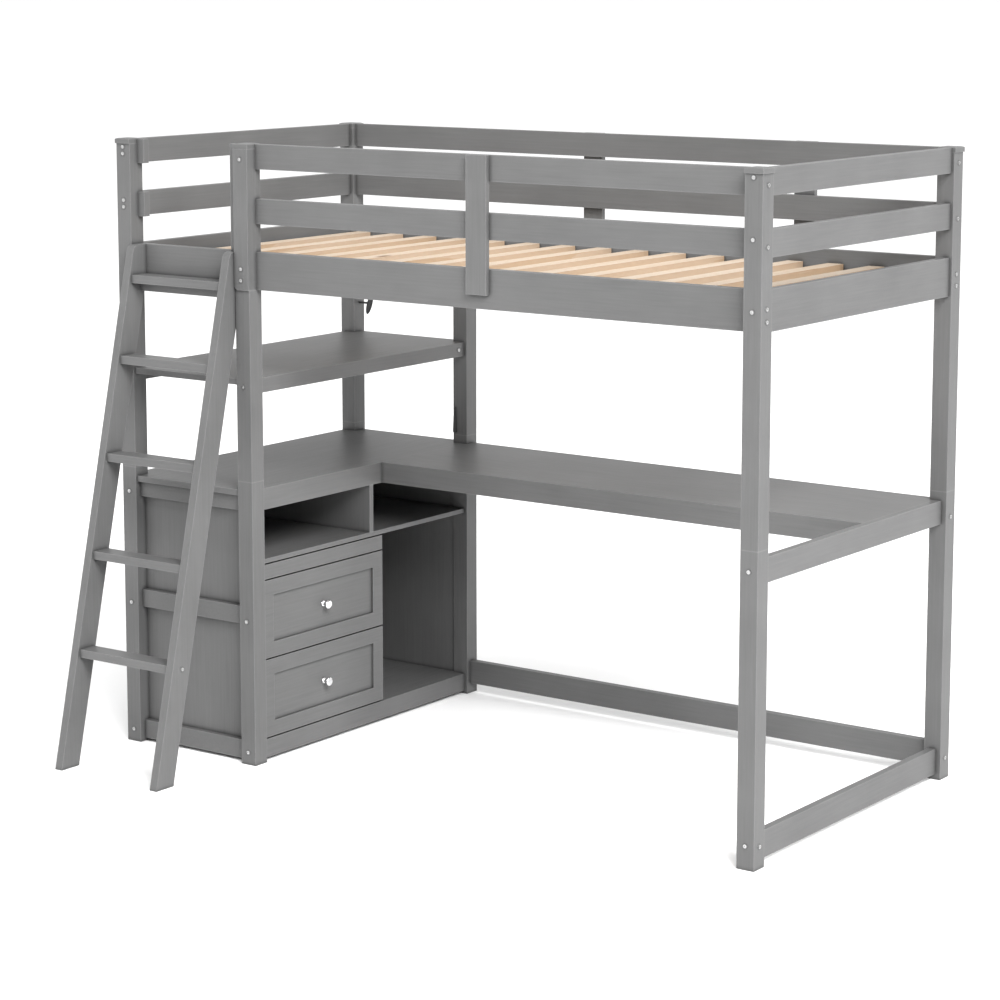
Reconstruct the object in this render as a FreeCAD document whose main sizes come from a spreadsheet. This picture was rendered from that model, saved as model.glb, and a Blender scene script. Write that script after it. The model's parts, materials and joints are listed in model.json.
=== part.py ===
"""Loft bed with an L-shaped desk, a two-drawer cabinet and a leaning ladder.

Positions are worked out in the bed's own corner frame and then shifted, so that the
document's origin is at the middle of the footprint, on the floor:
  X runs along the bed, from the cabinet end (left) to the far end (right),
  Y runs across the bed, from the ladder side (front) to the wall side (back),
  Z runs up from the floor.
Every length is in millimetres and comes from the sheet called Dims.
"""
import FreeCAD, Part

import os
import re

import Sketcher

DIMS = {
    # overall frame
    "bed_length": 2010,
    "bed_width": 1000,
    "post": 48,
    "leg_height": 770,
    "post_top": 1648,
    "middle_post_left": 416,
    "entry_post_proud": 4,
    "entry_post_round": 12,
    "cap_overhang": 3,
    "cap_rim": 12,
    "cap_peak": 2,
    "cap_slope": 6,
    # rails round the bed
    "rail_thick": 20,
    "top_rail_base": 1595,
    "top_rail_height": 65,
    "mid_rail_base": 1452,
    "mid_rail_height": 66,
    "bed_rail_base": 1279,
    "bed_rail_height": 100,
    "front_setback": 28,
    "back_setback": 14,
    "left_setback": 16,
    "right_setback": 8,
    "upright_wide": 62,
    "upright_thick": 14,
    "upright_base": 1315,
    "front_upright_left": 1156,
    "back_upright_left_one": 848,
    "back_upright_left_two": 1524,
    "batten_wide": 22,
    "batten_setback": 10,
    "end_block_long": 24,
    # slats
    "ledge": 20,
    "slat_base": 1325,
    "slat_thick": 18,
    "slat_wide": 46,
    "slat_pitch": 122,
    "slat_first": 55,
    # cabinet, shelf and desk
    "board_thick": 16,
    "panel_thick": 6,
    "side_setback": 17,
    "top_setback": 5,
    "frame_thick": 18,
    "frame_setback": 10,
    "shelf_base": 1003,
    "shelf_rail_height": 40,
    "desk_top": 746,
    "desk_rail_height": 58,
    "desk_front": 565,
    "desk_back_setback": 14,
    "end_rail_height": 62,
    "end_rail_setback": 14,
    "floor_rail_height": 68,
    "floor_rail_base": 15,
    "low_rail_base": 30,
    "plinth_base": 9,
    "cabinet_floor_top": 60,
    "cubby_floor_top": 554,
    "cubby_thick": 12,
    "drawer_rail_base": 498,
    "divider_left": 510,
    "partition_left": 548,
    "side_mid_rail_base": 380,
    "side_mid_rail_height": 48,
    # drawers
    "drawer_gap": 4,
    "front_frame": 42,
    "front_recess": 6,
    "box_thick": 12,
    "box_height": 150,
    "box_lift": 22,
    "box_left": 60,
    "box_right": 530,
    "box_back": 76,
    "box_floor": 6,
    "runner_thick": 14,
    "runner_play": 0.5,
    "knob_radius": 12.5,
    "knob_head": 9,
    "knob_round": 4,
    "knob_stem": 4.5,
    "knob_foot": 7.5,
    "knob_foot_thick": 2,
    "knob_neck": 15,
    # ladder
    "ladder_reach": 335,
    "ladder_play": 2,
    "stile_thick": 24,
    "stile_wide": 66,
    "stile_round": 22,
    "seat_height": 90,
    "rung_thick": 22,
    "rung_deep": 54,
    "rung_inset": 5,
    "rung_first": 316,
    "rung_pitch": 257,
    "rung_top": 1300,
    "cleat_base": 1254,
    "cleat_height": 24,
    # bolts
    "bolt_head": 4.8,
    "bolt_head_high": 2.5,
    "bolt_shank": 3,
    "bolt_long": 16,
    "bolt_socket": 2.7,
    "bolt_socket_deep": 2.2,
    "bolt_low": 26,
    "bolt_high": 44,
    # clips
    "clip_thick": 6,
    "leaf_long": 64,
    "leaf_wide": 20,
    "leaf_out": 40,
    "leaf_height": 1127,
    "hook_long": 74,
    "hook_base": 778,
}

document = FreeCAD.newDocument("LoftBed")
sheet = document.addObject("Spreadsheet::Sheet", "Dims")
for row, (alias, size) in enumerate(DIMS.items(), start=1):
    sheet.set(f"A{row}", alias)
    sheet.set(f"B{row}", str(size))
    sheet.setAlias(f"B{row}", alias)
document.recompute()

TINY = 0.01
SHIFT = ("- bed_length / 2", "+ (ladder_reach - bed_width - cap_overhang) / 2", "")
PIECES = {}


def bound(text):
    """Turn plain alias words into an expression on the sheet."""
    return re.sub(r"[a-z_]+", lambda word: "Dims." + word.group(0), text)


def value(text):
    """The number that a text of alias words comes to."""
    numbers = re.sub(r"[a-z_]+", lambda word: str(DIMS[word.group(0)]), text)
    return FreeCAD.Units.Quantity(numbers).Value


def place(thing, corner):
    """Bind an object's base point to a corner given in the bed's corner frame."""
    for axis, text, shift in zip("xyz", corner, SHIFT):
        thing.setExpression(f"Placement.Base.{axis}", bound(f"{text} {shift}"))


def block(name, corner, size):
    """A plain board: a box with its lowest corner and its size along X, Y and Z."""
    box = document.addObject("Part::Box", name)
    for side, text in zip(("Length", "Width", "Height"), size):
        box.setExpression(side, bound(text))
    place(box, corner)
    return box


def cylinder(name, centre, radius, height, turn):
    """A cylinder on a base point, turned to run into the wood."""
    rod = document.addObject("Part::Cylinder", name)
    rod.setExpression("Radius", bound(radius))
    rod.setExpression("Height", bound(height))
    rod.Placement.Rotation = turn
    place(rod, centre)
    return rod


def piece(node, thing):
    """Register an object as a sub-part under its own label."""
    thing.Label = node
    PIECES[node] = thing
    return thing


def board(node, corner, size):
    return piece(node, block(node, corner, size))


def group(node, things):
    """Several separate solids of one kind that share a node."""
    compound = document.addObject("Part::Compound", node)
    compound.Links = things
    return piece(node, compound)


def origin_plane(body, role):
    return next(item for item in body.Origin.OriginFeatures if item.Role == role)


def outline(body, name, role, corners):
    """A closed sketch of straight edges whose corners are bound to the sheet."""
    sketch = body.newObject("Sketcher::SketchObject", name)
    sketch.AttachmentSupport = (origin_plane(body, role), [""])
    sketch.MapMode = "FlatFace"
    points = [FreeCAD.Vector(value(across), value(up), 0) for across, up in corners]
    count = len(points)
    for index, start in enumerate(points):
        sketch.addGeometry(Part.LineSegment(start, points[(index + 1) % count]), False)
    for index, (across, up) in enumerate(corners):
        previous = (index - 1) % count
        sketch.addConstraint(Sketcher.Constraint("Coincident", previous, 2, index, 1))
        for kind, axis, text in (("DistanceX", -2, across), ("DistanceY", -1, up)):
            if text == "0":
                sketch.addConstraint(Sketcher.Constraint("PointOnObject", index, 1, axis))
                continue
            link = sketch.addConstraint(Sketcher.Constraint(kind, -1, 1, index, 1, value(text)))
            sketch.setExpression(f"Constraints[{link}]", bound(text))
    return sketch


def rectangle(left, low, right, high):
    return [(left, low), (right, low), (right, high), (left, high)]


def padded(node, role, corners, depth, backwards=False):
    """A body with one pad made from an outline on one of its own origin planes."""
    body = document.addObject("PartDesign::Body", node)
    sketch = outline(body, node + "_outline", role, corners)
    pad = body.newObject("PartDesign::Pad", node + "_pad")
    pad.Profile = sketch
    pad.setExpression("Length", bound(depth))
    pad.Reversed = backwards
    document.recompute()
    return body, pad


# ---------------------------------------------------------------- posts and caps

LEFT = "0"
MIDDLE = "middle_post_left"
RIGHT = "bed_length - post"
FRONT = "0"
BACK = "bed_width - post"
CORNERS = {
    "front_left": (LEFT, FRONT),
    "front_middle": (MIDDLE, FRONT),
    "front_right": (RIGHT, FRONT),
    "back_left": (LEFT, BACK),
    "back_middle": (MIDDLE, BACK),
    "back_right": (RIGHT, BACK),
}


def rounded(body, chosen, radius):
    """Round the edges of a padded body whose middle point is a chosen one."""
    pad = body.Tip
    edges = [
        f"Edge{index}"
        for index, edge in enumerate(pad.Shape.Edges, start=1)
        if chosen(edge.CenterOfMass)
    ]
    rounding = body.newObject("PartDesign::Fillet", body.Name + "_rounding")
    rounding.Base = (pad, edges)
    rounding.setExpression("Radius", bound(radius))


def post(node, corner, base, top, proud="0"):
    """A square post, padded up from its foot. Proud brings its front face forward."""
    across, along = corner
    body, _pad = padded(node, "XY_Plane", rectangle("0", "0", "post", f"post + {proud}"), f"{top} - {base}")
    place(body, (across, f"{along} - {proud}", base))
    return piece(node, body)


FREE_SIDES = {
    "front_left": ("-x", "-y"),
    "front_middle": ("-y", "+y"),
    "front_right": ("+x", "-y"),
    "back_left": ("-x", "+y"),
    "back_right": ("+x", "+y"),
}


def cap(corner_name):
    """A post cap: a flat plate, eased into a low slope, that overhangs the post's free sides only."""
    across, along = CORNERS[corner_name]
    name = "cap_" + corner_name
    free = FREE_SIDES[corner_name]
    over = {side: "cap_overhang" if side in free else "0" for side in ("-x", "+x", "-y", "+y")}
    wide = f"(post + {over['-x']} + {over['+x']})"
    deep = f"(post + {over['-y']} + {over['+y']})"
    low = (f"{across} - {over['-x']}", f"{along} - {over['-y']}", "post_top")
    rim = block(name + "_rim", low, (wide, deep, "cap_rim"))
    slope = document.addObject("Part::Wedge", name + "_slope")
    for edge, text in (
        ("Xmin", "0"), ("Xmax", wide), ("Zmin", "0"), ("Zmax", deep), ("Ymin", "0"), ("Ymax", "cap_peak"),
        ("X2min", "cap_slope"), ("X2max", wide + " - cap_slope"),
        ("Z2min", "cap_slope"), ("Z2max", deep + " - cap_slope"),
    ):
        slope.setExpression(edge, bound(text))
    slope.Placement.Rotation = FreeCAD.Rotation(FreeCAD.Vector(1, 0, 0), 90)
    place(slope, (low[0], f"{low[1]} + {deep}", "post_top + cap_rim"))
    whole = document.addObject("Part::Fuse", name)
    whole.Base = rim
    whole.Tool = slope
    return whole


def make_posts():
    for name, corner in CORNERS.items():
        post("leg_" + name, corner, "0", "leg_height")
        top = "bed_rail_base" if "middle" in name else "post_top"
        post("post_" + name, corner, "leg_height", top)
    corner = CORNERS["front_middle"]
    entry = post("entry_post", corner, "bed_rail_base", "post_top", proud="entry_post_proud")
    rounded(entry, lambda middle: abs(middle.x) < TINY and abs(middle.z) < TINY, "entry_post_round")
    group("post_caps", [cap(name) for name in FREE_SIDES])


# ---------------------------------------------------------------- rails of the bed

GUARD_TOP = "(top_rail_base + top_rail_height)"
LEVELS = {
    "top": ("top_rail_base", "top_rail_height"),
    "mid": ("mid_rail_base", "mid_rail_height"),
    "bed": ("bed_rail_base", "bed_rail_height"),
}
BETWEEN_POSTS_Y = "bed_width - 2 * post"


def long_rail(name, start, end, face, level):
    """A rail that runs along the bed, with its lower Y face at face."""
    base, height = LEVELS[level]
    return block(name, (start, face, base), (f"{end} - ({start})", "rail_thick", height))


def end_rail(name, face, level):
    """A rail that runs across the bed between the end posts, with its lower X face at face."""
    base, height = LEVELS[level]
    return block(name, (face, "post", base), ("rail_thick", BETWEEN_POSTS_Y, height))


def make_bed_rails():
    past_middle = "middle_post_left + post"
    back_face = "bed_width - back_setback - rail_thick"
    right_face = "bed_length - right_setback - rail_thick"
    runs = {
        "front": lambda name, level: long_rail(name, past_middle, RIGHT, "front_setback", level),
        "back": lambda name, level: long_rail(name, "post", RIGHT, back_face, level),
        "left": lambda name, level: end_rail(name, "left_setback", level),
        "right": lambda name, level: end_rail(name, right_face, level),
    }
    for side, run in runs.items():
        group("guard_rails_" + side, [run(f"guard_{side}_{level}", level) for level in ("top", "mid")])
        piece("bed_rail_" + side, run("bed_rail_" + side, "bed"))
    piece("bed_rail_entry", long_rail("bed_rail_entry", "post", MIDDLE, "front_setback", "bed"))


def make_entry_battens():
    """The upright batten beside the entry and the two short blocks on the corner post."""
    batten = block(
        "entry_batten",
        ("middle_post_left - batten_wide", "batten_setback", "bed_rail_base + bed_rail_height"),
        ("batten_wide", "rail_thick", f"{GUARD_TOP} - bed_rail_base - bed_rail_height"),
    )
    blocks = [
        block("end_block_" + level, ("post", "front_setback", base),
              ("end_block_long", "rail_thick", height))
        for level, (base, height) in LEVELS.items()
        if level != "bed"
    ]
    group("entry_battens", [batten] + blocks)


def make_uprights():
    """Upright straps that tie the two guard rails to the bed rail."""
    size = ("upright_wide", "upright_thick", f"{GUARD_TOP} - upright_base")
    board("front_upright", ("front_upright_left", "front_setback - upright_thick", "upright_base"), size)
    behind = "bed_width - back_setback"
    group("back_uprights", [
        block("upright_" + which, ("back_upright_left_" + which, behind, "upright_base"), size)
        for which in ("one", "two")
    ])


SLATS = 16


def make_slats():
    """Ledges screwed inside the long bed rails carry the loose pine slats."""
    inner_back = "bed_width - back_setback - rail_thick"
    ledge_size = ("bed_length - 2 * post", "ledge", "ledge")
    ledge_base = "slat_base - ledge"
    group("slat_ledges", [
        block("ledge_front", ("post", "front_setback + rail_thick", ledge_base), ledge_size),
        block("ledge_back", ("post", inner_back + " - ledge", ledge_base), ledge_size),
    ])
    slat_size = ("slat_wide", f"{inner_back} - front_setback - rail_thick", "slat_thick")
    group("bed_slats", [
        block(
            f"slat_{index + 1}",
            (f"slat_first + {index} * slat_pitch", "front_setback + rail_thick", "slat_base"),
            slat_size,
        )
        for index in range(SLATS)
    ])


# ---------------------------------------------------------------- shelf, desk and cabinet

RIGHT_FACE = "middle_post_left + post - frame_setback"
FASCIA = f"{RIGHT_FACE} - frame_thick"
INSIDE = "(side_setback + frame_thick + panel_thick)"


def cut_by_posts(name, blank, corners):
    """A board cut away where the posts at some corners pass it."""
    tool = document.addObject("Part::MultiFuse", name + "_notches")
    tool.Shapes = [
        block(f"{name}_notch_{corner}", (*CORNERS[corner], "0"), ("post", "post", "post_top"))
        for corner in corners
    ]
    cut = document.addObject("Part::Cut", name)
    cut.Base = blank
    cut.Tool = tool
    return cut


def notched(name, corner, size):
    """A board that lies between the four cabinet posts and is cut away round them."""
    blank = block(name + "_blank", corner, size)
    return cut_by_posts(name, blank, [spot for spot in CORNERS if "right" not in spot])


def make_shelf():
    """The open shelf: its board shows at the front, and rails edge the other three sides."""
    across = "middle_post_left - post"
    board("shelf_fascia", (FASCIA, "post", "shelf_base"),
          ("frame_thick", BETWEEN_POSTS_Y, "shelf_rail_height"))
    group("shelf_rails", [
        block("shelf_rail_back", ("post", "bed_width - frame_setback - frame_thick", "shelf_base"),
              (across, "frame_thick", "shelf_rail_height")),
        block("shelf_rail_left", ("frame_setback", "post", "shelf_base"),
              ("frame_thick", BETWEEN_POSTS_Y, "shelf_rail_height")),
    ])
    piece("shelf_board", notched(
        "shelf_board",
        ("frame_setback + frame_thick", "top_setback", "shelf_base + shelf_rail_height - board_thick"),
        (f"{FASCIA} - frame_setback - frame_thick",
         "bed_width - top_setback - frame_setback - frame_thick", "board_thick"),
    ))


def make_desk():
    rail_base = "desk_top - desk_rail_height"
    board("cabinet_apron", (FASCIA, "post", rail_base),
          ("frame_thick", "desk_front - post", "desk_rail_height"))
    desk_right = "bed_length - end_rail_setback - rail_thick"
    board("desk_front_rail", (RIGHT_FACE, "desk_front", rail_base),
          (f"{desk_right} - middle_post_left - post + frame_setback", "frame_thick", "desk_rail_height"))
    board("desk_end_rail", (desk_right, "post", "desk_top - end_rail_height"),
          ("rail_thick", BETWEEN_POSTS_Y, "end_rail_height"))
    board("floor_end_rail", (desk_right, "post", "floor_rail_base"),
          ("rail_thick", BETWEEN_POSTS_Y, "floor_rail_height"))
    back_run = "bed_length - middle_post_left - 2 * post"
    back_start = "middle_post_left + post"
    back_face = "bed_width - desk_back_setback - rail_thick"
    group("lower_back_rails", [
        block("low_back_rail", (back_start, back_face, "low_rail_base"),
              (back_run, "rail_thick", "floor_rail_height")),
        block("desk_back_rail", (back_start, back_face, rail_base),
              (back_run, "rail_thick", "desk_rail_height - board_thick")),
    ])
    make_desk_tops(desk_right)


def make_desk_tops(desk_right):
    """The long top reaches from the cabinet to the end rail; the left top covers the cabinet."""
    back_edge = "bed_width - desk_back_setback"
    top_base = "desk_top - board_thick"
    start = "desk_front + frame_thick"
    long_blank = block("long_top_blank", (RIGHT_FACE, start, top_base),
                       (f"{desk_right} - middle_post_left - post + frame_setback",
                        f"{back_edge} - desk_front - frame_thick", "board_thick"))
    piece("desk_top_long", cut_by_posts("desk_top_long", long_blank, ["back_middle", "back_right"]))

    main = notched(
        "left_top_main",
        ("top_setback", "top_setback", top_base),
        (f"{FASCIA} - top_setback", "bed_width - 2 * top_setback", "board_thick"),
    )
    strip = block("left_top_strip", (FASCIA, "desk_front", top_base),
                  ("frame_thick", "bed_width - post - desk_front", "board_thick"))
    joined = document.addObject("Part::Fuse", "desk_top_left")
    joined.Base = main
    joined.Tool = strip
    joined.Refine = True
    piece("desk_top_left", joined)


def make_cabinet_sides():
    """Frame-and-panel sides at the front, the left and the back of the cabinet."""
    across = "middle_post_left - post"
    back_frame = "bed_width - side_setback - frame_thick"
    rows = {
        "top": ("desk_top - desk_rail_height", "desk_rail_height - board_thick"),
        "mid": ("side_mid_rail_base", "side_mid_rail_height"),
        "low": ("plinth_base", "cabinet_floor_top - plinth_base"),
    }
    rails = []
    for row, (base, height) in rows.items():
        rails += [
            block(f"side_rail_front_{row}", ("post", "side_setback", base),
                  (across, "frame_thick", height)),
            block(f"side_rail_back_{row}", ("post", back_frame, base),
                  (across, "frame_thick", height)),
            block(f"side_rail_left_{row}", ("side_setback", "post", base),
                  ("frame_thick", BETWEEN_POSTS_Y, height)),
        ]
    group("cabinet_side_rails", rails)

    low = "plinth_base"
    tall = "desk_top - board_thick - plinth_base"
    behind = "side_setback + frame_thick"
    board("cabinet_panel_front", ("post", behind, low), (across, "panel_thick", tall))
    board("cabinet_panel_back", ("post", back_frame + " - panel_thick", low), (across, "panel_thick", tall))
    board("cabinet_panel_left", (behind, "post", low), ("panel_thick", BETWEEN_POSTS_Y, tall))


def make_cabinet_boards():
    deep = f"bed_width - 2 * {INSIDE}"
    to_frame = f"{FASCIA} - {INSIDE}"
    floors = {
        "cabinet_floor": ("cabinet_floor_top", "board_thick", to_frame),
        "cubby_floor": ("cubby_floor_top", "cubby_thick", f"{RIGHT_FACE} - {INSIDE}"),
    }
    for node, (top, thick, across) in floors.items():
        piece(node, notched(node, (INSIDE, INSIDE, f"{top} - {thick}"), (across, deep, thick)))
    drawer_rail_top = "cubby_floor_top - cubby_thick - drawer_gap"
    board("drawer_rail", (FASCIA, "post", "drawer_rail_base"),
          ("frame_thick", "desk_front - post", f"{drawer_rail_top} - drawer_rail_base"))
    board("plinth_rail", (FASCIA, "post", "plinth_base"),
          ("frame_thick", BETWEEN_POSTS_Y, "cabinet_floor_top - plinth_base"))
    group("cabinet_partitions", [
        block("drawer_partition", (INSIDE, "partition_left", "cabinet_floor_top"),
              (to_frame, "board_thick", "cubby_floor_top - cubby_thick - cabinet_floor_top")),
        block("cubby_divider", (INSIDE, "divider_left", "cubby_floor_top"),
              (f"{RIGHT_FACE} - {INSIDE}", "board_thick",
               "desk_top - desk_rail_height - cubby_floor_top")),
        block("cubby_divider_top", (INSIDE, "divider_left", "desk_top - desk_rail_height"),
              (to_frame, "board_thick", "desk_rail_height - board_thick")),
    ])


# ---------------------------------------------------------------- drawers

FRONT_HEIGHT = "(drawer_rail_base - cabinet_floor_top - 3 * drawer_gap) / 2"
DRAWERS = {
    "lower": "cabinet_floor_top + drawer_gap",
    "upper": f"cabinet_floor_top + 2 * drawer_gap + {FRONT_HEIGHT}",
}
FRONT_WIDTH = "desk_front - post - drawer_gap"


def make_drawer_front(drawer, base):
    """A drawer front with a square recess that leaves a flat frame all round."""
    node = drawer + "_drawer_front"
    body, pad = padded(node, "YZ_Plane", rectangle("0", "0", FRONT_WIDTH, FRONT_HEIGHT), "frame_thick")
    inner = rectangle("front_frame", "front_frame",
                      f"{FRONT_WIDTH} - front_frame", f"{FRONT_HEIGHT} - front_frame")
    recess_outline = outline(body, node + "_recess_outline", "YZ_Plane", inner)
    recess_outline.setExpression("AttachmentOffset.Base.z", bound("frame_thick"))
    recess = body.newObject("PartDesign::Pocket", node + "_recess")
    recess.Profile = recess_outline
    recess.setExpression("Length", bound("front_recess"))
    document.recompute()
    if recess.Shape.Volume >= pad.Shape.Volume:
        raise RuntimeError("the recess cuts nothing")
    place(body, (FASCIA, "post + drawer_gap", base))
    piece(node, body)


def make_drawer(drawer, base):
    make_drawer_front(drawer, base)
    low = f"{base} + box_lift"
    inner_left = "box_left + box_thick"
    long_side = f"{FASCIA} - box_back"
    between = "box_right - box_left - 2 * box_thick"
    group(drawer + "_drawer_box", [
        block(drawer + "_side_left", ("box_back", "box_left", low), (long_side, "box_thick", "box_height")),
        block(drawer + "_side_right", ("box_back", "box_right - box_thick", low),
              (long_side, "box_thick", "box_height")),
        block(drawer + "_side_back", ("box_back", inner_left, low), ("box_thick", between, "box_height")),
        block(drawer + "_bottom", ("box_back + box_thick", inner_left, low),
              (f"{long_side} - box_thick", between, "box_floor")),
    ])
    make_knob(drawer, f"{base} + {FRONT_HEIGHT} / 2")


def make_knob(drawer, height):
    """A turned knob: a foot plate, a slim neck that flares, and a flat round head."""
    node = drawer + "_drawer_knob"
    body = document.addObject("PartDesign::Body", node)
    reach = "knob_neck + knob_head"
    profile = outline(body, node + "_profile", "XY_Plane", [
        ("0", "0"),
        (reach, "0"),
        (reach, "knob_radius"),
        ("knob_neck", "knob_radius"),
        ("knob_neck - knob_foot_thick", "knob_stem"),
        ("knob_foot_thick", "knob_stem"),
        ("knob_foot_thick", "knob_foot"),
        ("0", "knob_foot"),
    ])
    turned = body.newObject("PartDesign::Revolution", node + "_turned")
    turned.Profile = profile
    turned.ReferenceAxis = (profile, ["H_Axis"])
    document.recompute()
    rounded(body, lambda middle: middle.x > value("knob_neck") - TINY, "knob_round")
    place(body, (f"{RIGHT_FACE} - front_recess", f"post + drawer_gap + ({FRONT_WIDTH}) / 2", height))
    piece(node, body)


def make_runners():
    """Wooden strips that carry the drawer sides, on the front panel and on the partition."""
    reach = "middle_post_left - post"
    strips = []
    for drawer, base in DRAWERS.items():
        low = f"{base} + box_lift - runner_play - runner_thick"
        strips.append(block(drawer + "_runner_left", ("post", INSIDE, low),
                            (reach, f"box_left + box_thick - {INSIDE}", "runner_thick")))
        strips.append(block(drawer + "_runner_right", ("post", "box_right - box_thick", low),
                            (reach, "partition_left - box_right + box_thick", "runner_thick")))
    group("drawer_runners", strips)


# ---------------------------------------------------------------- ladder

LEAN = "(ladder_reach + front_setback - stile_wide) / (bed_rail_base + bed_rail_height - seat_height)"
STILES = {
    "left": "post + ladder_play",
    "right": "middle_post_left - ladder_play - stile_thick",
}


EVEN_RUNGS = 4


def front_of_stile(height):
    """How far the stile's front edge stands behind the ladder's foot at a height."""
    return f"({height}) * {LEAN}"


def make_stile(side, left):
    """A leaning board, cut level at the floor and plumb where it rests on the bed rail."""
    node = "ladder_stile_" + side
    top = "bed_rail_base + bed_rail_height"
    reach = "ladder_reach + front_setback"
    corners = [
        ("0", "0"),
        ("stile_wide", "0"),
        (reach, f"{top} - seat_height"),
        (reach, top),
        (front_of_stile(top), top),
    ]
    body, _pad = padded(node, "YZ_Plane", corners, "stile_thick")
    nose = (value(front_of_stile(top)), value(top))
    rounded(body, lambda middle: abs(middle.y - nose[0]) + abs(middle.z - nose[1]) < TINY, "stile_round")
    place(body, (left, "- ladder_reach", "0"))
    piece(node, body)


def make_ladder():
    for side, left in STILES.items():
        make_stile(side, left)
    inner_left = "post + ladder_play + stile_thick"
    between = "middle_post_left - post - 2 * ladder_play - 2 * stile_thick"
    tops = [f"rung_first + {index} * rung_pitch" for index in range(EVEN_RUNGS)] + ["rung_top"]
    rungs = [
        block(
            f"rung_{index + 1}",
            (inner_left, f"{front_of_stile(top)} + rung_inset - ladder_reach", f"{top} - rung_thick"),
            (between, "rung_deep", "rung_thick"),
        )
        for index, top in enumerate(tops)
    ]
    cleat = block("ladder_cleat", (inner_left, "front_setback - rail_thick", "cleat_base"),
                  (between, "rail_thick", "cleat_height"))
    group("ladder_rungs", rungs + [cleat])


# ---------------------------------------------------------------- bolts

INWARD = {
    "-x": FreeCAD.Rotation(FreeCAD.Vector(0, 1, 0), 90),
    "+x": FreeCAD.Rotation(FreeCAD.Vector(0, 1, 0), -90),
    "-y": FreeCAD.Rotation(FreeCAD.Vector(1, 0, 0), -90),
    "+y": FreeCAD.Rotation(FreeCAD.Vector(1, 0, 0), 90),
}
OUTWARD_SIGN = {"-x": "-", "+x": "+", "-y": "-", "+y": "+"}
MID_POST = "post / 2"
GUARD_BOLTS = ["top_rail_base + bolt_low", "mid_rail_base + bolt_low"]
GUARD_END_BOLTS = ["top_rail_base + bolt_high", "mid_rail_base + bolt_high"]
BED_BOLTS = ["bed_rail_base + bolt_low", "bed_rail_base + bed_rail_height - bolt_high"]
BED_END_BOLT = "bed_rail_base + bed_rail_height / 2"
SHELF_BOLT = "shelf_base + shelf_rail_height / 2"
DESK_END_BOLT = "desk_top - bolt_low"
DESK_SIDE_BOLT = "desk_top - bolt_high"
SIDE_BOLT = "side_mid_rail_base + side_mid_rail_height / 4"
LOW_BOLT = "cabinet_floor_top - bolt_low"
FLOOR_BOLT = "floor_rail_base + bolt_high"
LOW_RAIL_BOLT = "low_rail_base + bolt_low"


def make_bolt(name, side, point):
    """A flat-headed bolt with a hex socket; the point is where it enters the wood."""
    turn = INWARD[side]
    along = 0 if side.endswith("x") else 1
    outside = list(point)
    outside[along] = f"{point[along]} {OUTWARD_SIGN[side]} bolt_head_high"
    head = cylinder(name + "_head", outside, "bolt_head", "bolt_head_high", turn)
    shank = cylinder(name + "_shank", point, "bolt_shank", "bolt_long", turn)
    socket = document.addObject("Part::Prism", name + "_socket")
    socket.Polygon = 6
    socket.setExpression("Circumradius", bound("bolt_socket"))
    socket.setExpression("Height", bound("bolt_socket_deep"))
    socket.Placement.Rotation = turn
    place(socket, outside)
    whole = document.addObject("Part::Fuse", name + "_whole")
    whole.Base = head
    whole.Tool = shank
    bolt = document.addObject("Part::Cut", name)
    bolt.Base = whole
    bolt.Tool = socket
    return bolt


def post_bolts(corner, side, heights):
    """Bolts on the middle line of one face of a post."""
    across, along = CORNERS[corner]
    centre = [f"{across} + {MID_POST}", f"{along} + {MID_POST}"]
    if side.endswith("x"):
        centre[0] = across if side == "-x" else f"{across} + post"
    else:
        centre[1] = along if side == "-y" else f"{along} + post"
    return [make_bolt(f"bolt_{corner}_{side[1]}{index}", side, (*centre, height))
            for index, height in enumerate(heights)]


def make_bolts():
    end_face = GUARD_END_BOLTS + [BED_END_BOLT, DESK_END_BOLT, FLOOR_BOLT]
    long_face = GUARD_BOLTS + BED_BOLTS + [LOW_RAIL_BOLT]
    cabinet = [DESK_SIDE_BOLT, SIDE_BOLT, LOW_BOLT]
    bolts = (
        post_bolts("front_left", "-y", GUARD_BOLTS + GUARD_END_BOLTS + cabinet)
        + post_bolts("front_left", "-x", BED_BOLTS + [SHELF_BOLT])
        + post_bolts("front_middle", "-y", [SHELF_BOLT, SIDE_BOLT, LOW_BOLT])
        + post_bolts("front_right", "-y", end_face)
        + post_bolts("front_right", "+x", long_face)
        + post_bolts("back_left", "+y", GUARD_END_BOLTS + [BED_END_BOLT] + cabinet)
        + post_bolts("back_left", "-x", GUARD_BOLTS + BED_BOLTS + [SHELF_BOLT])
        + post_bolts("back_middle", "+y", [SHELF_BOLT, SIDE_BOLT, LOW_BOLT])
        + post_bolts("back_right", "+y", end_face)
        + post_bolts("back_right", "+x", long_face + [DESK_SIDE_BOLT])
    )
    middle = f"{MIDDLE} + {MID_POST}"
    for index, height in enumerate(GUARD_BOLTS[:1] + BED_BOLTS):
        bolts.append(make_bolt(f"bolt_entry_{index}", "-y", (middle, "- entry_post_proud", height)))
    nut = (RIGHT_FACE, f"{BACK} - bolt_low", SHELF_BOLT)
    bolts.append(make_bolt("bolt_fascia", "+x", nut))
    rung_middle = f"{front_of_stile('rung_first')} - ladder_reach + stile_wide / 2"
    rung_height = "rung_first - rung_thick / 2"
    stile_sides = {"-x": STILES["left"], "+x": "middle_post_left - ladder_play"}
    for index, (side, face) in enumerate(stile_sides.items()):
        bolts.append(make_bolt(f"bolt_stile_{index}", side, (face, rung_middle, rung_height)))
    group("frame_bolts", bolts)


# ---------------------------------------------------------------- cable clips

LEAF_TILT = 18


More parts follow.
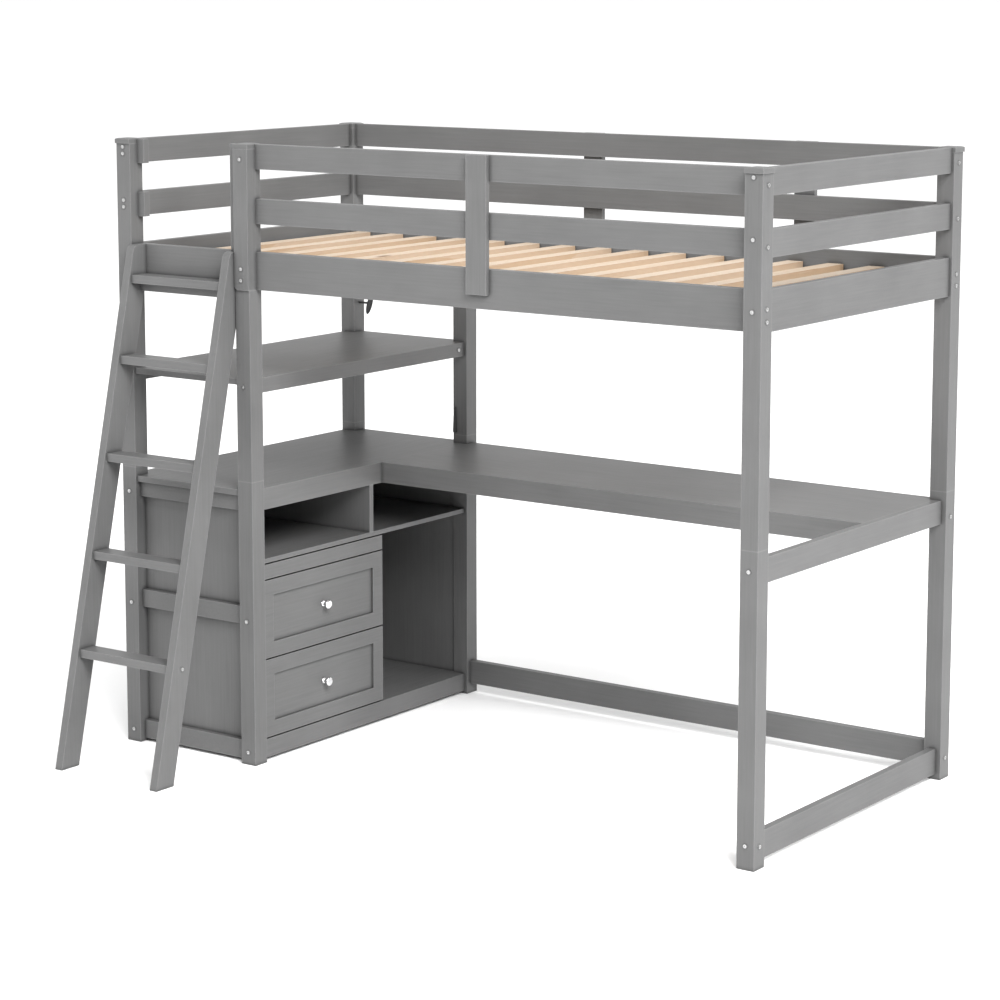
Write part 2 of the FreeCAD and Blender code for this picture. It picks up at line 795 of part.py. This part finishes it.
def make_cable_clips():
    """Two dark plastic clips: a tilted leaf on a stub, and a tapered hook, each let into a back post."""
    leaf = document.addObject("Part::Ellipsoid", "clip_leaf")
    half_sizes = {"Radius1": "leaf_long / 2", "Radius2": "leaf_wide / 2", "Radius3": "clip_thick / 2"}
    for radius, text in half_sizes.items():
        leaf.setExpression(radius, bound(text))
    leaf.Placement.Rotation = FreeCAD.Rotation(FreeCAD.Vector(0, 1, 0), LEAF_TILT)
    middle = f"{BACK} + post / 2"
    place(leaf, ("post + leaf_out", middle, "leaf_height"))
    stub = block("clip_stub", ("post - clip_thick", f"{middle} - clip_thick / 4", "leaf_height"),
                 ("leaf_out + clip_thick", "clip_thick / 2", "clip_thick"))
    whole = document.addObject("Part::Fuse", "clip_leaf_on_stub")
    whole.Base = leaf
    whole.Tool = stub
    hook = document.addObject("Part::Cone", "clip_hook")
    for side, text in (("Radius1", "clip_thick"), ("Radius2", "clip_thick / 2"), ("Height", "hook_long")):
        hook.setExpression(side, bound(text))
    place(hook, ("middle_post_left + clip_thick", f"{BACK} - clip_thick / 4", "hook_base"))
    group("cable_clips", [whole, hook])


# ---------------------------------------------------------------- build, check and write

make_posts()
make_bed_rails()
make_entry_battens()
make_uprights()
make_slats()
make_shelf()
make_desk()
make_cabinet_sides()
make_cabinet_boards()
for drawer_name, drawer_base in DRAWERS.items():
    make_drawer(drawer_name, drawer_base)
make_runners()
make_ladder()
make_bolts()
make_cable_clips()
document.recompute()

for item in document.Objects:
    if "Invalid" in item.State or "Error" in item.State:
        raise RuntimeError(f"{item.Label} did not build")
for node, thing in PIECES.items():
    if thing.Shape.isNull() or not thing.Shape.isValid():
        raise RuntimeError(f"{node} has no valid shape")

os.makedirs("parts", exist_ok=True)
for node, thing in PIECES.items():
    thing.Shape.exportStep(f"parts/{node}.step")
print(len(PIECES), "nodes,", sum(len(thing.Shape.Solids) for thing in PIECES.values()), "solids")
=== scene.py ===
"""Loft bed with desk: materials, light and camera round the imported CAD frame."""

import json
import math

import bpy
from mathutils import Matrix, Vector


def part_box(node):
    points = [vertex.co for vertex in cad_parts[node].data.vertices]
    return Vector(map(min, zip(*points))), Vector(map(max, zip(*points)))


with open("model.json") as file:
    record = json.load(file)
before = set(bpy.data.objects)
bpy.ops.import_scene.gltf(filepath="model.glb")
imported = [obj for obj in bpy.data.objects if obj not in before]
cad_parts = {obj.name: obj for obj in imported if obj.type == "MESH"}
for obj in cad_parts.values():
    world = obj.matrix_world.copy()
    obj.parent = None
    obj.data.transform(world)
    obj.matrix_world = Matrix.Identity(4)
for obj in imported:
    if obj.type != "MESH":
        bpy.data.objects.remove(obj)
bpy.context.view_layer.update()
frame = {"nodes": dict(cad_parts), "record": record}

# ---------------------------------------------------------------- colours and finishes


def grey(level):
    """A neutral colour. A ramp can also give it out as the share for a mix."""
    return (level, level, level, 1.0)


NONE = grey(0.0)
FULL = grey(1.0)

PAINT_LIGHT = grey(0.112)
PAINT_DARK = grey(0.086)
# Paler grey along convex edges: a painted highlight, standing for light catching the eased edges.
PAINT_EDGE_HIGHLIGHT = grey(0.20)
# Near black mixed in where other surfaces crowd close: painted shade in corners, joints and recesses.
PAINTED_CREVICE_SHADE = grey(0.006)
PAINT_ROUGHNESS = (0.36, 0.50)
PAINT_SPECULAR = 0.28
EDGE_HIGHLIGHT_SHARE = grey(0.6)
EDGE_HIGHLIGHT_REACH = 0.003
CREVICE_SHADE_REACH = 0.012

PINE_PALE = (0.53, 0.45, 0.37, 1.0)
PINE_RING = (0.42, 0.31, 0.21, 1.0)
PINE_KNOT = (0.13, 0.065, 0.03, 1.0)
# A darker brown on faces that don't look up: painted shade on the slats' sides and undersides.
PINE_SIDE_SHADE = (0.25, 0.16, 0.09, 1.0)
PINE_ROUGHNESS = (0.50, 0.68)
PINE_SPECULAR = 0.3
SIDE_SHADE_SHARE = grey(0.7)
SLAT_AXIS = "Y"

CHROME = (0.80, 0.80, 0.81, 1.0)
CHROME_ROUGHNESS = (0.05, 0.12)
ZINC = grey(0.52)
ZINC_ROUGHNESS = (0.25, 0.42)
BLACK = (0.020, 0.020, 0.021, 1.0)
BLACK_ROUGHNESS = (0.40, 0.55)

FLOOR = grey(0.97)
FLOOR_ROUGHNESS = (0.55, 0.62)
FLOOR_SPECULAR = 0.1

AXES = "XYZ"
EVEN = (1.0, 1.0, 1.0)


def along(axis, lengthwise, across):
    """Texture scales for grain that runs along an axis."""
    return tuple(lengthwise if name == axis else across for name in AXES)


# The Mix node has a socket of every data type. These are its colour sockets.
MIX_FIRST = 6
MIX_SECOND = 7
MIX_RESULT = 2


class Nodes:
    """Short calls for one material's node tree."""

    def __init__(self, name):
        self.material = bpy.data.materials.new(name)
        self.material.use_nodes = True
        self.tree = self.material.node_tree
        self.shader = self.tree.nodes["Principled BSDF"]

    def add(self, kind, **settings):
        node = self.tree.nodes.new("ShaderNode" + kind)
        for key, setting in settings.items():
            setattr(node, key, setting)
        return node

    def link(self, source, target):
        self.tree.links.new(source, target)

    def feed(self, source, socket):
        """Link an output to one of the shader's own sockets."""
        self.link(source, self.shader.inputs[socket])

    def fix(self, socket, value):
        """Set one of the shader's own sockets to a value that is the same all over."""
        self.shader.inputs[socket].default_value = value

    def stretched(self, scales):
        """Object coordinates, scaled differently along each axis."""
        place = self.add("TexCoord")
        mapping = self.add("Mapping")
        mapping.inputs["Scale"].default_value = scales
        self.link(place.outputs["Object"], mapping.inputs["Vector"])
        return mapping.outputs["Vector"]

    def noise(self, scale, stretch=EVEN, detail=3.0, roughness=0.5):
        noise = self.add("TexNoise")
        noise.inputs["Scale"].default_value = scale
        noise.inputs["Detail"].default_value = detail
        noise.inputs["Roughness"].default_value = roughness
        self.link(self.stretched(stretch), noise.inputs["Vector"])
        return noise.outputs["Fac"]

    def ramp(self, value, *stops):
        """A colour ramp with two (position, colour) stops."""
        ramp = self.add("ValToRGB")
        for element, (position, colour) in zip(ramp.color_ramp.elements, stops):
            element.position = position
            element.color = colour
        self.link(value, ramp.inputs["Fac"])
        return ramp.outputs["Color"]

    def spread(self, value, low, high):
        """Map a value of 0 to 1 onto low to high."""
        spread = self.add("MapRange")
        spread.inputs["To Min"].default_value = low
        spread.inputs["To Max"].default_value = high
        self.link(value, spread.inputs["Value"])
        return spread.outputs["Result"]

    def weighted_sum(self, value, weight, other):
        """The value times a weight, plus the other value."""
        total = self.add("Math", operation="MULTIPLY_ADD")
        total.inputs[1].default_value = weight
        self.link(value, total.inputs[0])
        self.link(other, total.inputs[2])
        return total.outputs[0]

    def mix(self, share, first, second):
        """Blend from the first colour to the second. Either may be a colour or an output."""
        mix = self.add("Mix", data_type="RGBA")
        self.link(share, mix.inputs["Factor"])
        for index, colour in ((MIX_FIRST, first), (MIX_SECOND, second)):
            if isinstance(colour, tuple):
                mix.inputs[index].default_value = colour
            else:
                self.link(colour, mix.inputs[index])
        return mix.outputs[MIX_RESULT]

    def openness(self, reach, samples, inside=False):
        """How open the space is within reach of a point, outside the solid or inside it."""
        occlusion = self.add("AmbientOcclusion", samples=samples, inside=inside)
        occlusion.inputs["Distance"].default_value = reach
        return occlusion.outputs["AO"]

    def bump(self, height, distance, strength, under=None):
        """A bumped normal, laid over the one under it if there is one."""
        bump = self.add("Bump")
        bump.inputs["Distance"].default_value = distance
        bump.inputs["Strength"].default_value = strength
        self.link(height, bump.inputs["Height"])
        if under is not None:
            self.link(under, bump.inputs["Normal"])
        return bump.outputs["Normal"]


# ---------------------------------------------------------------- materials


def painted_wood(axis):
    """Satin grey paint: faint grain and brush marks, a painted highlight on the edges, and painted
    shade darkening the crevices.
    """
    nodes = Nodes("painted_wood_" + axis.lower())
    grain_stretch = along(axis, lengthwise=2.0, across=60.0)
    brush_stretch = along(axis, lengthwise=4.0, across=220.0)
    grain = nodes.noise(scale=3.0, stretch=grain_stretch, detail=6.0, roughness=0.6)
    brush = nodes.noise(scale=2.0, stretch=brush_stretch, detail=2.0)
    cloud = nodes.noise(scale=5.0)
    speckle = nodes.noise(scale=900.0, detail=1.0)

    tone = nodes.weighted_sum(grain, 0.5, nodes.spread(cloud, 0.0, 0.5))
    colour = nodes.ramp(tone, (0.3, PAINT_DARK), (0.7, PAINT_LIGHT))
    # Paler paint near convex edges is a painted highlight of the bevels.
    rim = nodes.openness(EDGE_HIGHLIGHT_REACH, samples=4, inside=True)
    edge_highlight = nodes.ramp(rim, (0.35, EDGE_HIGHLIGHT_SHARE), (0.85, NONE))
    coat_with_highlight = nodes.mix(edge_highlight, colour, PAINT_EDGE_HIGHLIGHT)
    # Corners, joints and recesses are darkened toward near black: painted shade.
    shade_openness = nodes.openness(CREVICE_SHADE_REACH, samples=8)
    nodes.feed(nodes.mix(shade_openness, PAINTED_CREVICE_SHADE, coat_with_highlight), "Base Color")
    nodes.feed(nodes.spread(brush, *PAINT_ROUGHNESS), "Roughness")
    nodes.fix("Specular IOR Level", PAINT_SPECULAR)

    fine = nodes.bump(speckle, distance=0.0002, strength=0.12)
    marks = nodes.bump(brush, distance=0.0003, strength=0.10, under=fine)
    nodes.feed(nodes.bump(grain, distance=0.0006, strength=0.25, under=marks), "Normal")
    return nodes.material


def growth_rings(nodes):
    """Wavy bands that run along the slats."""
    rings = nodes.add("TexWave", wave_type="BANDS", bands_direction="X", wave_profile="SAW")
    rings.inputs["Scale"].default_value = 9.0
    rings.inputs["Distortion"].default_value = 9.0
    rings.inputs["Detail"].default_value = 3.0
    rings.inputs["Detail Scale"].default_value = 0.6
    nodes.link(nodes.stretched(along(SLAT_AXIS, lengthwise=0.16, across=3.0)), rings.inputs["Vector"])
    return rings.outputs["Fac"]


def knot_distance(nodes):
    """How far a point is from the middle of the nearest knot."""
    knots = nodes.add("TexVoronoi", feature="F1")
    knots.inputs["Scale"].default_value = 7.0
    nodes.link(nodes.stretched(along(SLAT_AXIS, lengthwise=0.35, across=1.0)), knots.inputs["Vector"])
    return knots.outputs["Distance"]


def upward_facing(nodes):
    """How far a face looks up: 1 on a slat's top, 0 on its sides and -1 underneath."""
    facing = nodes.add("SeparateXYZ")
    nodes.link(nodes.add("NewGeometry").outputs["True Normal"], facing.inputs["Vector"])
    return facing.outputs["Z"]


def bare_pine():
    """Pine slats: growth rings, fine fibres, a few knots, and painted shade darkening the sides and
    undersides.
    """
    nodes = Nodes("bare_pine")
    warp = nodes.noise(scale=1.0, stretch=along(SLAT_AXIS, lengthwise=1.2, across=30.0), detail=2.0)
    fibre = nodes.noise(scale=1.0, stretch=along(SLAT_AXIS, lengthwise=9.0, across=900.0), detail=2.0)
    rings = growth_rings(nodes)

    tone = nodes.weighted_sum(rings, 0.55, nodes.spread(warp, 0.0, 0.5))
    wood = nodes.ramp(tone, (0.25, PINE_PALE), (0.85, PINE_RING))
    knot = nodes.ramp(knot_distance(nodes), (0.03, FULL), (0.10, NONE))
    knotty = nodes.mix(knot, wood, PINE_KNOT)
    # Sides and undersides are darkened by the way they face: painted shade.
    side_shade = nodes.ramp(upward_facing(nodes), (0.30, SIDE_SHADE_SHARE), (0.70, NONE))
    nodes.feed(nodes.mix(side_shade, knotty, PINE_SIDE_SHADE), "Base Color")
    nodes.feed(nodes.spread(fibre, *PINE_ROUGHNESS), "Roughness")
    nodes.fix("Specular IOR Level", PINE_SPECULAR)

    fine = nodes.bump(fibre, distance=0.0003, strength=0.25)
    nodes.feed(nodes.bump(rings, distance=0.0004, strength=0.2, under=fine), "Normal")
    return nodes.material


def metal(name, colour, roughness, marks):
    """A bright metal whose polish varies a little, with fine handling marks."""
    nodes = Nodes(name)
    scratches = nodes.noise(scale=marks, detail=4.0, roughness=0.7)
    nodes.fix("Base Color", colour)
    nodes.fix("Metallic", 1.0)
    nodes.feed(nodes.spread(scratches, *roughness), "Roughness")
    nodes.feed(nodes.bump(scratches, distance=0.0001, strength=0.05), "Normal")
    return nodes.material


def black_plastic():
    """Moulded plastic with a fine even grain."""
    nodes = Nodes("black_plastic")
    grain = nodes.noise(scale=1400.0, detail=2.0)
    nodes.fix("Base Color", BLACK)
    nodes.feed(nodes.spread(grain, *BLACK_ROUGHNESS), "Roughness")
    nodes.feed(nodes.bump(grain, distance=0.0001, strength=0.3), "Normal")
    return nodes.material


def studio_floor():
    """A plain white matt floor."""
    nodes = Nodes("studio_floor")
    nodes.fix("Base Color", FLOOR)
    nodes.feed(nodes.spread(nodes.noise(scale=30.0), *FLOOR_ROUGHNESS), "Roughness")
    nodes.fix("Specular IOR Level", FLOOR_SPECULAR)
    return nodes.material


# ---------------------------------------------------------------- dressing the CAD nodes

BEVELS = {"grey_paint": 0.0020, "bare_pine": 0.0015}
CRISP_BEVEL = 0.0008
CRISP_NODES = ("upper_drawer_front", "lower_drawer_front", "desk_top_left", "desk_top_long")
BEVEL_SEGMENTS = 3
SHARP_ANGLE = math.radians(40)

# The grain of these nodes doesn't run along the longest side of their box.
GRAIN_BY_NODE = {
    "back_uprights": "Z",
    "entry_battens": "Z",
    "cabinet_panel_left": "Z",
    "ladder_rungs": "X",
    "drawer_runners": "X",
}


def longest_axis(node):
    low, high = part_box(node)
    spans = [top - bottom for bottom, top in zip(low, high)]
    return AXES[spans.index(max(spans))]


def ease_edges(thing, width):
    """Bevel the sharp edges, as sanded and painted boards have them."""
    bevel = thing.modifiers.new("eased_edges", "BEVEL")
    bevel.width = width
    bevel.segments = BEVEL_SEGMENTS
    bevel.limit_method = "ANGLE"
    bevel.angle_limit = SHARP_ANGLE
    bevel.harden_normals = True


def dress_nodes():
    """Give every CAD node its material, and every board its eased edges."""
    paints = {axis: painted_wood(axis) for axis in AXES}
    others = {
        "bare_pine": bare_pine(),
        "polished_knob": metal("polished_knob", CHROME, CHROME_ROUGHNESS, marks=300.0),
        "zinc_bolt": metal("zinc_bolt", ZINC, ZINC_ROUGHNESS, marks=800.0),
        "black_plastic": black_plastic(),
    }
    slots = {part["node"]: part["material_slot"] for part in frame["record"]["subparts"]}
    for node, thing in frame["nodes"].items():
        slot = slots[node]
        if slot == "grey_paint":
            material = paints[GRAIN_BY_NODE.get(node) or longest_axis(node)]
        else:
            material = others[slot]
        for holder in thing.material_slots:
            holder.material = material
        if slot in BEVELS:
            ease_edges(thing, CRISP_BEVEL if node in CRISP_NODES else BEVELS[slot])


# ---------------------------------------------------------------- floor, light and camera

FLOOR_SIZE = 600.0
FLOOR_DROP = 0.0005
MIDDLE = Vector((0.0, 0.0, 0.8))

WORLD_STRENGTH = 1.0
SKY_STRENGTH = 0.35
SKY_SOFTNESS = math.radians(60)

VIEW_AZIMUTH = 35.85
VIEW_DROP = 8.57
EYE_FROM_CORNER = Vector((5.318, -5.601, 2.104))
LENS = 102.4
SENSOR_WIDTH = 36.0
SHIFT_UP = -0.1
CLIP_END = 200.0


def make_floor():
    """A wide floor just under the feet, so that the two don't share a plane."""
    bpy.ops.mesh.primitive_plane_add(size=FLOOR_SIZE, location=(0, 0, -FLOOR_DROP))
    floor = bpy.context.object
    floor.name = "studio_floor"
    floor.data.materials.append(studio_floor())


def direction(azimuth, elevation):
    """The unit vector that points from the bed towards an azimuth and an elevation."""
    turn = math.radians(azimuth)
    tilt = math.radians(elevation)
    return Vector((math.sin(turn) * math.cos(tilt), -math.cos(turn) * math.cos(tilt), math.sin(tilt)))


def add_lamp(name, lamp, away, distance):
    """Put a lamp at a distance from the middle of the bed, aimed back at it."""
    thing = bpy.data.objects.new(name, lamp)
    thing.location = MIDDLE + away * distance
    thing.rotation_euler = (-away).to_track_quat("-Z", "Y").to_euler()
    bpy.context.collection.objects.link(thing)


def soft_box(name, azimuth, elevation, distance, size, power):
    """A large square lamp, as in a photo studio."""
    lamp = bpy.data.lights.new(name, "AREA")
    lamp.size = size
    lamp.energy = power
    add_lamp(name, lamp, direction(azimuth, elevation), distance)


def make_light():
    """A white world, a strong soft box at the right, a weak one at the front and a soft sky."""
    world = bpy.data.worlds.new("studio")
    world.use_nodes = True
    background = world.node_tree.nodes["Background"]
    background.inputs["Color"].default_value = FULL
    background.inputs["Strength"].default_value = WORLD_STRENGTH
    bpy.context.scene.world = world
    soft_box("right", azimuth=58, elevation=38, distance=16.0, size=8.0, power=4600)
    soft_box("front", azimuth=-25, elevation=30, distance=12.0, size=5.0, power=200)
    sky = bpy.data.lights.new("sky", "SUN")
    sky.energy = SKY_STRENGTH
    sky.angle = SKY_SOFTNESS
    add_lamp("sky", sky, direction(azimuth=0, elevation=88), distance=6.0)


def make_camera():
    """The photograph's view, placed from the foot of the front left leg."""
    camera = bpy.data.cameras.new("camera")
    camera.lens = LENS
    camera.sensor_width = SENSOR_WIDTH
    camera.shift_y = SHIFT_UP
    camera.clip_end = CLIP_END
    thing = bpy.data.objects.new("camera", camera)
    corner, _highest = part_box("leg_front_left")
    thing.location = Vector(corner) + EYE_FROM_CORNER
    thing.rotation_euler = (math.radians(90 - VIEW_DROP), 0.0, math.radians(VIEW_AZIMUTH))
    bpy.context.collection.objects.link(thing)
    bpy.context.scene.camera = thing


dress_nodes()
make_floor()
make_light()
make_camera()
bpy.context.scene.view_settings.view_transform = "Standard"
